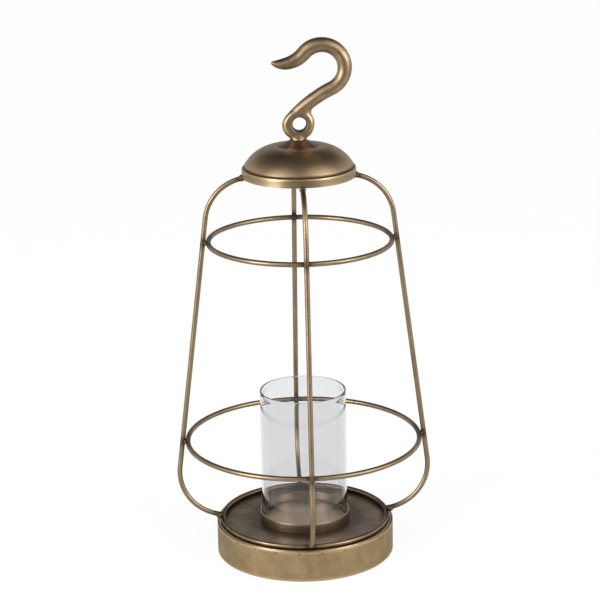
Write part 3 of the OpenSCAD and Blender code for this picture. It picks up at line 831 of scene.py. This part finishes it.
def hook_bar(length=math.inf):
    """Bent bar from inside the eye to its pointed tip, or its first length of metal."""
    line, tip, total = hook_line()
    line = [at for at in line if at[2] < length]
    start, heading, _ = line[0]
    line.insert(0, (start - BAR_IN_EYE * Vector((math.cos(heading), 0, math.sin(heading))), heading, 0.0))
    points = []
    for here, heading, run in line:
        wide, deep = bar_size(run, total)
        out = Vector((-math.sin(heading), 0, math.cos(heading)))
        points += [here + out * wide * c + Vector((0, deep * s, 0)) for c, s in circle(BAR_SIDES)]
    points.append(tip if length > total else line[-1][0])
    return mesh_piece("bar", points, tube_faces(len(line), BAR_SIDES, pointed=True))


def eye_body():
    """Disc with rounded edges, drawn in to the line of the shank's upper side, still without its bore."""
    half, middle = EYE_T / 2, EYE_R - EYE_EDGE_R
    outline = [(0, -half)] + arc((middle, EYE_EDGE_R - half), EYE_EDGE_R, -math.pi / 2, 0)
    outline += arc((middle, half - EYE_EDGE_R), EYE_EDGE_R, 0, math.pi / 2) + [(0, half)]
    piece = turned("eye", outline, around=96)
    piece.data.transform(Matrix.Translation((0, 0, EYE_H)) @ UPRIGHT)
    points = vertices_of(piece)
    out = points[:, [0, 2]] - np.array(SHANK_C.xz)
    reach = np.hypot(*out.T)
    limit = SHANK_BEND_R + SHANK_T / 2 + EYE_OUT
    kept = (reach + limit - np.hypot(reach - limit, EYE_SOFT)) / 2
    points[:, [0, 2]] = np.array(SHANK_C.xz) + out * (kept / reach)[:, None]
    move_vertices(piece, points)
    return piece


def hook_foot():
    """Round foot that the eye stands on, drawn in to the eye's thickness."""
    top = COLLAR_TOP + FOOT_H
    edge, bevel_w, bevel_h, neck_h = 0.4 * MM, 0.8 * MM, 1 * MM, 2 * MM
    outline = [(0, COLLAR_TOP), (FOOT_R - edge, COLLAR_TOP), (FOOT_R, COLLAR_TOP + edge)]
    outline += [(FOOT_R, top - bevel_h), (FOOT_R - bevel_w, top), (EYE_T / 2, top + neck_h), (0, top + neck_h)]
    return turned("foot", outline, around=96)


def bore_cutter():
    """Plug with flared ends that leaves the eye's bore with rounded mouths."""
    half, middle = EYE_T / 2, EYE_BORE_R + BORE_FLARE
    mouth, reach = middle + BORE_FLARE * math.cos(FLARE_END) + 0.5 * MM, EYE_T
    outline = [(0, -reach), (mouth, -reach)]
    outline += arc((middle, BORE_FLARE - half), BORE_FLARE, -FLARE_END, -math.pi, steps=10)
    outline += arc((middle, half - BORE_FLARE), BORE_FLARE, math.pi, FLARE_END, steps=10)
    outline += [(mouth, reach), (0, reach)]
    piece = turned("bore", outline, around=96)
    piece.data.transform(Matrix.Translation((BORE_X, 0, EYE_H)) @ UPRIGHT)
    return piece


def modified(piece, steps):
    """Applies a list of modifiers, each a kind and its settings, in order."""
    for number, (kind, settings) in enumerate(steps):
        modifier = piece.modifiers.new(f"step_{number}", kind)
        for key, value in settings.items():
            setattr(modifier, key, value)
    shaped = piece.evaluated_get(bpy.context.evaluated_depsgraph_get())
    mesh = bpy.data.meshes.new_from_object(shaped)
    piece.modifiers.clear()
    piece.data = mesh


def settle_on_bar(piece):
    """Moves the vertices of the casting beyond its root onto the bar's own surface, and draws out its tip."""
    rows_at_once = 500
    line, _, total = hook_line(step=0.2 * MM)
    middle = np.array([at.xz for at, _, _ in line])
    headings = np.array([heading for _, heading, _ in line])
    runs = np.array([run for _, _, run in line])
    sizes = np.array([bar_size(run, total) for run in runs])
    points = vertices_of(piece)
    near = np.concatenate([
        np.argmin(((part[:, None, :] - middle[None]) ** 2).sum(2), 1)
        for part in np.array_split(points[:, [0, 2]], max(1, len(points) // rows_at_once))
    ])
    out = np.stack([-np.sin(headings), np.cos(headings)], 1)[near]
    along = np.stack([np.cos(headings), np.sin(headings)], 1)[near]
    aside = points[:, [0, 2]] - middle[near]
    wide, deep = sizes[near].T
    turn = np.arctan2(points[:, 1] / deep, (aside * out).sum(1) / wide)
    onto = along * (aside * along).sum(1)[:, None] + out * (wide * np.cos(turn))[:, None]
    ending = rise(runs[near], total - TIP_LEN, total) ** 2
    thin = 1 - TIP_THINNED * ending
    onto = middle[near] + onto * thin[:, None] + along * (TIP_DRAWN * ending)[:, None]
    share = rise(runs[near], SETTLE_FROM, SETTLE_FULL)
    points[:, [0, 2]] += (onto - points[:, [0, 2]]) * share[:, None]
    points[:, 1] += (deep * thin * np.sin(turn) - points[:, 1]) * share
    move_vertices(piece, points)


def mark_edges(piece, rounds=10, gain=60.0, lowest=-0.15):
    """Edge values of any mesh from how far each vertex stands out of its neighbours, smoothed."""
    mesh = piece.data
    points = vertices_of(piece)
    pairs = np.empty(len(mesh.edges) * 2, np.int32)
    mesh.edges.foreach_get("vertices", pairs)
    a, b = pairs.reshape(-1, 2).T
    count = np.maximum(np.bincount(np.concatenate([a, b]), minlength=len(points)), 1)

    def neighbours(values):
        """Mean of the values at each vertex's neighbours."""
        total = np.zeros_like(values)
        np.add.at(total, a, values[b])
        np.add.at(total, b, values[a])
        return total / (count if values.ndim == 1 else count[:, None])

    normals = np.array([v.normal for v in mesh.vertices])
    stand = ((points - neighbours(points)) * normals).sum(1) / MM
    for _ in range(rounds):
        stand = 0.5 * stand + 0.5 * neighbours(stand)
    set_values(piece, "edge", np.clip((stand - np.median(stand)) * gain, lowest, 1))


def threaded_stem():
    """Stem through the cap, with a thread on the end that carries the nut."""
    low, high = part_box("hook")[0].z, COLLAR_TOP + STEM_IN_FOOT
    pitch, depth, thread_top = 1.25 * MM, 0.55 * MM, WASHER_TOP + THREAD_SPARE
    lead_len, lead_size = 0.8 * MM, 0.85
    sides, rows = 48, 220
    points = []
    for i in range(rows + 1):
        z = low + (high - low) * i / rows
        lead = lead_size + (1 - lead_size) * min(1, (z - low) / lead_len)
        for k, (c, s) in enumerate(circle(sides)):
            wave = abs(((z / pitch - k / sides) % 1) * 2 - 1)
            r = (STEM_R - (depth * wave if z < thread_top else 0)) * lead
            points.append((r * c, r * s, z))
    return mesh_piece("stem", points, tube_faces(rows + 1, sides), sharp=40)


def hook():
    """One casting: bar, eye and foot run together in soft corners, then bored."""
    root = join_meshes("root", [hook_bar(ROOT_LEN), eye_body(), hook_foot()])
    modified(root, [
        ("REMESH", {"mode": "VOXEL", "voxel_size": ROOT_VOXEL}),
        ("DISPLACE", {"strength": CORNER_R, "mid_level": 0.0}),
        ("REMESH", {"mode": "VOXEL", "voxel_size": ROOT_VOXEL}),
        ("DISPLACE", {"strength": -CORNER_R, "mid_level": 0.0}),
    ])
    body = join_meshes("casting", [root, hook_bar()])
    cutter = bore_cutter()
    modified(body, [
        ("REMESH", {"mode": "VOXEL", "voxel_size": CASTING_VOXEL}),
        ("SMOOTH", {"factor": 0.5, "iterations": 6}),
        ("BOOLEAN", {"operation": "DIFFERENCE", "object": cutter, "solver": "EXACT"}),
    ])
    bpy.data.objects.remove(cutter)
    settle_on_bar(body)
    mark_edges(body)
    points = vertices_of(body)
    from_bore = np.hypot(points[:, 0] - BORE_X, points[:, 2] - EYE_H)
    from_tip = np.linalg.norm(points - np.array(hook_line()[1]), axis=1)
    # Painted shade in the bore and where the foot meets the collar, painted light round the eye, and darker towards
    # the tip
    in_bore = BORE_PAINTED_SHADE * rise(from_bore, EYE_BORE_R + 1.5 * MM, EYE_BORE_R + 0.2 * MM)
    eye_painted_light = fade(from_bore, reach=13 * MM, amount=-0.35)
    at_tip = fade(from_tip, reach=22 * MM, amount=0.6)
    foot_painted_shade = fade(points[:, 2] - COLLAR_TOP, reach=3.5 * MM, amount=0.4)
    set_values(body, "dirt_and_shade", in_bore + eye_painted_light + at_tip + foot_painted_shade)
    whole = join_meshes("hook_casting", [body, threaded_stem()])
    fit(whole, "hook", "hook", HOOK_BRASS)


def washer():
    """Flat washer with broken edges."""
    edge = 0.25 * MM
    hole = STEM_R + 0.3 * MM
    outline = [(hole, WASHER_LOW), (WASHER_R - edge, WASHER_LOW), (WASHER_R, WASHER_LOW + edge)]
    outline += [(WASHER_R, WASHER_TOP - edge), (WASHER_R - edge, WASHER_TOP), (hole, WASHER_TOP)]
    fit(turned("washer", outline, around=96), "hook", "hook_washer", FIXING_STEEL)


def nut():
    """Hexagon nut with chamfered corners and a countersunk hole."""
    flats, low, high = NUT_HIGH.y, NUT_LOW.z, NUT_HIGH.z
    face, chamfer, sink = 0.98 * flats, math.tan(math.radians(30)), 0.6 * MM
    sides, points = 96, []
    for k, (c, s) in enumerate(circle(sides)):
        to_flat = (2 * math.pi * k / sides - math.pi / 6) % (math.pi / 3) - math.pi / 6
        corner = flats / math.cos(to_flat)
        drop = max(0.0, corner - face) * chamfer
        section = [(HOLE_R, high - sink), (HOLE_R + sink, high), (face, high), (corner, high - drop),
                   (corner, low + drop), (face, low), (HOLE_R + sink, low), (HOLE_R, low + sink)]
        points += [(r * c, r * s, z) for r, z in section]
    faces = tube_faces(sides, len(section), closed=True)
    fit(mesh_piece("nut", points, faces, sharp=20), "hook", "hook_nut", FIXING_STEEL)


drum()
tray()
foot_ring()
felt_pads()
cup()
chimney()
ribs()
hoop("lower_hoop", LOWER_R, LOWER_H, ROD_BRASS)
hoop("upper_hoop", UPPER_R, UPPER_H, ROD_BRASS)
hoop("base_ring", RING_R, RING_H, RING_BRASS)
for bead_node, (bead_centre, bead_radius) in BEADS.items():
    beads(bead_node, bead_centre, bead_radius)
cap()
collar()
plate()
hook()
washer()
nut()


# Stage

WHITE = (1, 1, 1, 1)
PAPER = (0.82, 0.82, 0.82, 1)
FLOOR_SIZE, FLOOR_FRONT = 12.0, 1.1
FLOOR_GLOW, FLOOR_SEEN, FLOOR_MIRRORED = 1.1, 0.82, 0.12
SOFT_BOXES = {"left_box": ((-1.3, -1.0, 0.65), 1.1, 13), "right_box": ((1.4, -1.1, 0.9), 1.2, 9.5)}
BOX_WIDTH, BOX_AIM = 0.7, Vector((0, 0, 0.2))

# Soft light from the surround: levels, and limits of each change along the way out from the lantern
FRONT_LEVEL, BACK_LEVEL, FRONT_TO_BACK = 0.35, 0.55, (-0.4, 0.5)
SIDE_LEVEL, SIDE_LIMITS = 0.75, (0.1, 0.7)
SIDE_AT_BACK, SIDE_TO_BACK = 0.4, (-0.2, 0.5)
OVERHEAD, TO_OVERHEAD = 0.22, (0.25, 0.75)
HIGH_BACK, TO_BACK, TO_HIGH = 0.4, (0.2, 0.6), (0.38, 0.58)
BELOW, FROM_BELOW = 0.1, (-0.2, 0.05)
PATCH_LEVEL, PATCH_EDGE = 1.1, (0.76, 0.95)
PATCH_UP, PATCH_ASIDE, PATCH_RIGHT = 0.55, 0.6, 0.03


def rays_seen(tree, direct, mirrored):
    """Share of the white background: direct to the camera and in glass, mirrored in metal, 0 as a light."""
    rays = add_node(tree, "ShaderNodeLightPath").outputs
    seen = maths(tree, "MAXIMUM", rays["Is Camera Ray"], rays["Is Transmission Ray"])
    seen = times(tree, maths(tree, "MAXIMUM", seen, rays["Is Singular Ray"]), direct)
    return maths(tree, "MAXIMUM", seen, times(tree, rays["Is Glossy Ray"], mirrored))


def floor():
    """Plain pale floor that keeps a soft shadow; it ends a little way in front of the lantern."""
    corners = [(-FLOOR_SIZE, -FLOOR_FRONT, 0), (FLOOR_SIZE, -FLOOR_FRONT, 0),
               (FLOOR_SIZE, FLOOR_SIZE, 0), (-FLOOR_SIZE, FLOOR_SIZE, 0)]
    piece = mesh_piece("floor", corners, [(0, 1, 2, 3)])
    material, tree, shader = new_material("pale floor")
    tree.nodes.remove(shader)
    paper = add_node(tree, "ShaderNodeBsdfDiffuse", Color=PAPER)
    glow = add_node(tree, "ShaderNodeEmission", Color=WHITE, Strength=FLOOR_GLOW)
    mix = add_node(tree, "ShaderNodeMixShader")
    for socket, value in zip(mix.inputs, (rays_seen(tree, FLOOR_SEEN, FLOOR_MIRRORED), *paper.outputs, *glow.outputs)):
        tree.links.new(value, socket)
    tree.links.new(mix.outputs[0], tree.nodes["Material Output"].inputs["Surface"])
    piece.data.materials.append(material)


def surround():
    """White surround; as a soft light it is dim overhead, below and high at the back, brighter at both sides.

    Two bright patches stand high in front, one at each side.
    """
    world = bpy.data.worlds.new("studio")
    bpy.context.scene.world = world
    world.use_nodes = True
    tree = world.node_tree
    way = add_node(tree, "ShaderNodeTexCoord").outputs["Generated"]
    x, y, z = add_node(tree, "ShaderNodeSeparateXYZ", Vector=way).outputs
    sides = times(tree, ramp(tree, times(tree, x, x), *SIDE_LIMITS), SIDE_LEVEL,
                  between(tree, ramp(tree, y, *SIDE_TO_BACK), 1.0, SIDE_AT_BACK))
    level = plus(tree, between(tree, ramp(tree, y, *FRONT_TO_BACK), FRONT_LEVEL, BACK_LEVEL), sides)
    overhead = between(tree, ramp(tree, z, *TO_OVERHEAD), 1.0, OVERHEAD)
    high_back = between(tree, times(tree, ramp(tree, y, *TO_BACK), ramp(tree, z, *TO_HIGH)), 1.0, HIGH_BACK)
    below = between(tree, ramp(tree, z, *FROM_BELOW), BELOW, 1.0)
    toward_patch = plus(tree, times(tree, maths(tree, "SUBTRACT", z, y), PATCH_UP),
                        times(tree, maths(tree, "ABSOLUTE", x), PATCH_ASIDE), times(tree, x, PATCH_RIGHT))
    patches = times(tree, ramp(tree, toward_patch, *PATCH_EDGE), PATCH_LEVEL)
    soft = plus(tree, times(tree, level, overhead, high_back, below), patches)
    strength = maths(tree, "MAXIMUM", rays_seen(tree, 1.0, 0.0), soft)
    set_inputs(tree, tree.nodes["Background"], {"Color": WHITE, "Strength": strength})


def soft_boxes():
    """A large soft lamp at each side in front, each a place, a height and a power."""
    for name, (place, height, power) in SOFT_BOXES.items():
        light = bpy.data.lights.new(name, "AREA")
        light.shape = "RECTANGLE"
        light.size, light.size_y = BOX_WIDTH, height
        light.energy = power
        lamp = bpy.data.objects.new(name, light)
        lamp.location = place
        lamp.rotation_euler = (BOX_AIM - lamp.location).to_track_quat("-Z", "Y").to_euler()
        bpy.context.scene.collection.objects.link(lamp)


def camera():
    """Long lens, a little above the lantern, turned to the left of its front."""
    azimuth, elevation, roll = math.radians(-3.4), math.radians(16.62), math.radians(1.03)
    distance, field = 2.0077, math.radians(16.0)
    aim = Vector((-1.1 * MM, 0, 251.0 * MM))
    lens = bpy.data.cameras.new("camera")
    lens.sensor_width = 36.0
    lens.lens = lens.sensor_width / 2 / math.tan(field / 2)
    view = bpy.data.objects.new("camera", lens)
    level = math.cos(elevation)
    back = Vector((math.sin(azimuth) * level, -math.cos(azimuth) * level, math.sin(elevation)))
    view.location = aim + distance * back
    view.rotation_euler = (back.to_track_quat("Z", "Y").to_matrix() @ Matrix.Rotation(-roll, 3, "Z")).to_euler()
    bpy.context.scene.collection.objects.link(view)
    bpy.context.scene.camera = view


floor()
surround()
soft_boxes()
camera()
bpy.context.scene.view_settings.view_transform = "Standard"
